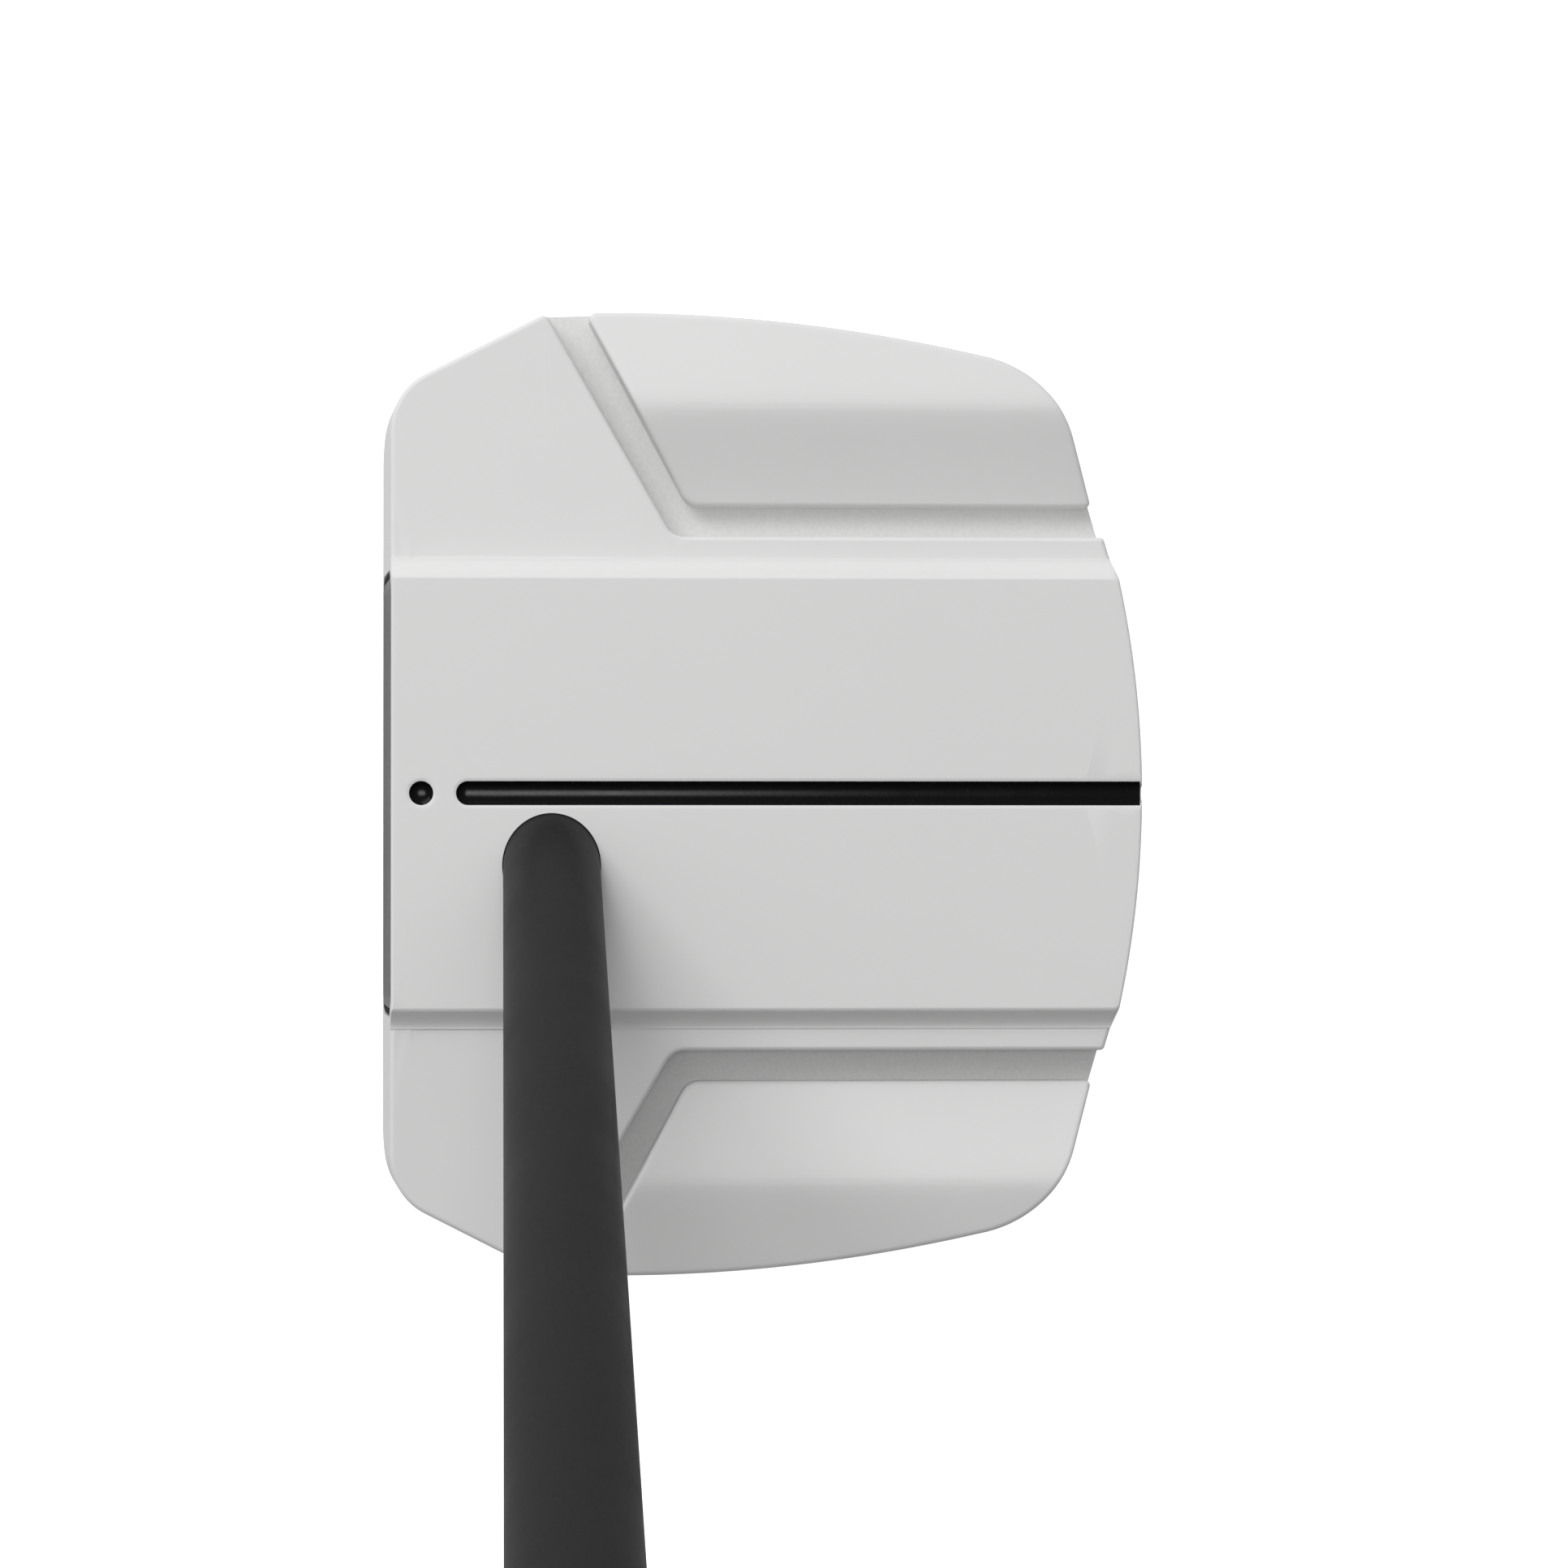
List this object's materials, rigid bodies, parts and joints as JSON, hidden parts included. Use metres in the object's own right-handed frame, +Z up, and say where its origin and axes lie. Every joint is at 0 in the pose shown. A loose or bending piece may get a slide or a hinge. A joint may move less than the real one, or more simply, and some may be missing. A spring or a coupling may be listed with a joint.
{
  "type": "mallet putter",
  "caption": "Right-handed mallet putter with a stepped, grooved head, face insert, screwed sole plate, weights, tapered shaft and wrapped grip.",
  "frame": {"origin": "middle of the flat of the sole, on the ground, with the club at address", "axes": "+Z up, -Y the way the face looks (the target), -X the toe, +X the heel and the player's side"},
  "size_m": [0.3634, 0.0752, 0.839],
  "materials": {
    "white_paint": "satin white paint over milled aluminium",
    "grey_anodised": "matte dark grey anodised aluminium with fine milled lines",
    "black_rubber": "matte black elastomer",
    "adhesive_foam": "grey double-sided foam tape",
    "black_enamel": "gloss black enamel",
    "stainless_steel": "brushed stainless steel",
    "screw_steel": "satin dark steel",
    "damping_foam": "matte soft foam",
    "shaft_black": "satin black coated steel",
    "epoxy": "cured epoxy",
    "plug_plastic": "moulded plastic",
    "grip_tape": "paper-backed double-sided tape",
    "grip_foam": "closed-cell foam",
    "grip_polyurethane": "matte black polyurethane with fine texture",
    "trim_plastic": "black moulded plastic"
  },
  "bodies": {
    "root": {"head_body": "white_paint", "face_insert": "grey_anodised", "insert_gasket": "black_rubber", "insert_adhesive_pad": "adhesive_foam", "sight_line_fill": "black_enamel", "sight_dot_fill": "black_enamel", "sole_plate": "stainless_steel", "sole_screw_front_toe": "screw_steel", "sole_screw_front_heel": "screw_steel", "sole_screw_back_toe": "screw_steel", "sole_screw_back_heel": "screw_steel", "damping_foam": "damping_foam", "toe_weight": "screw_steel", "heel_weight": "screw_steel", "toe_weight_washer": "black_rubber", "heel_weight_washer": "black_rubber", "shaft": "shaft_black", "shaft_bond": "epoxy", "shaft_tip_plug": "plug_plastic", "grip_tape": "grip_tape", "grip_core": "grip_foam", "grip_skin": "grip_polyurethane", "grip_collar": "trim_plastic", "grip_cap": "trim_plastic"}
  },
  "joints": []
}
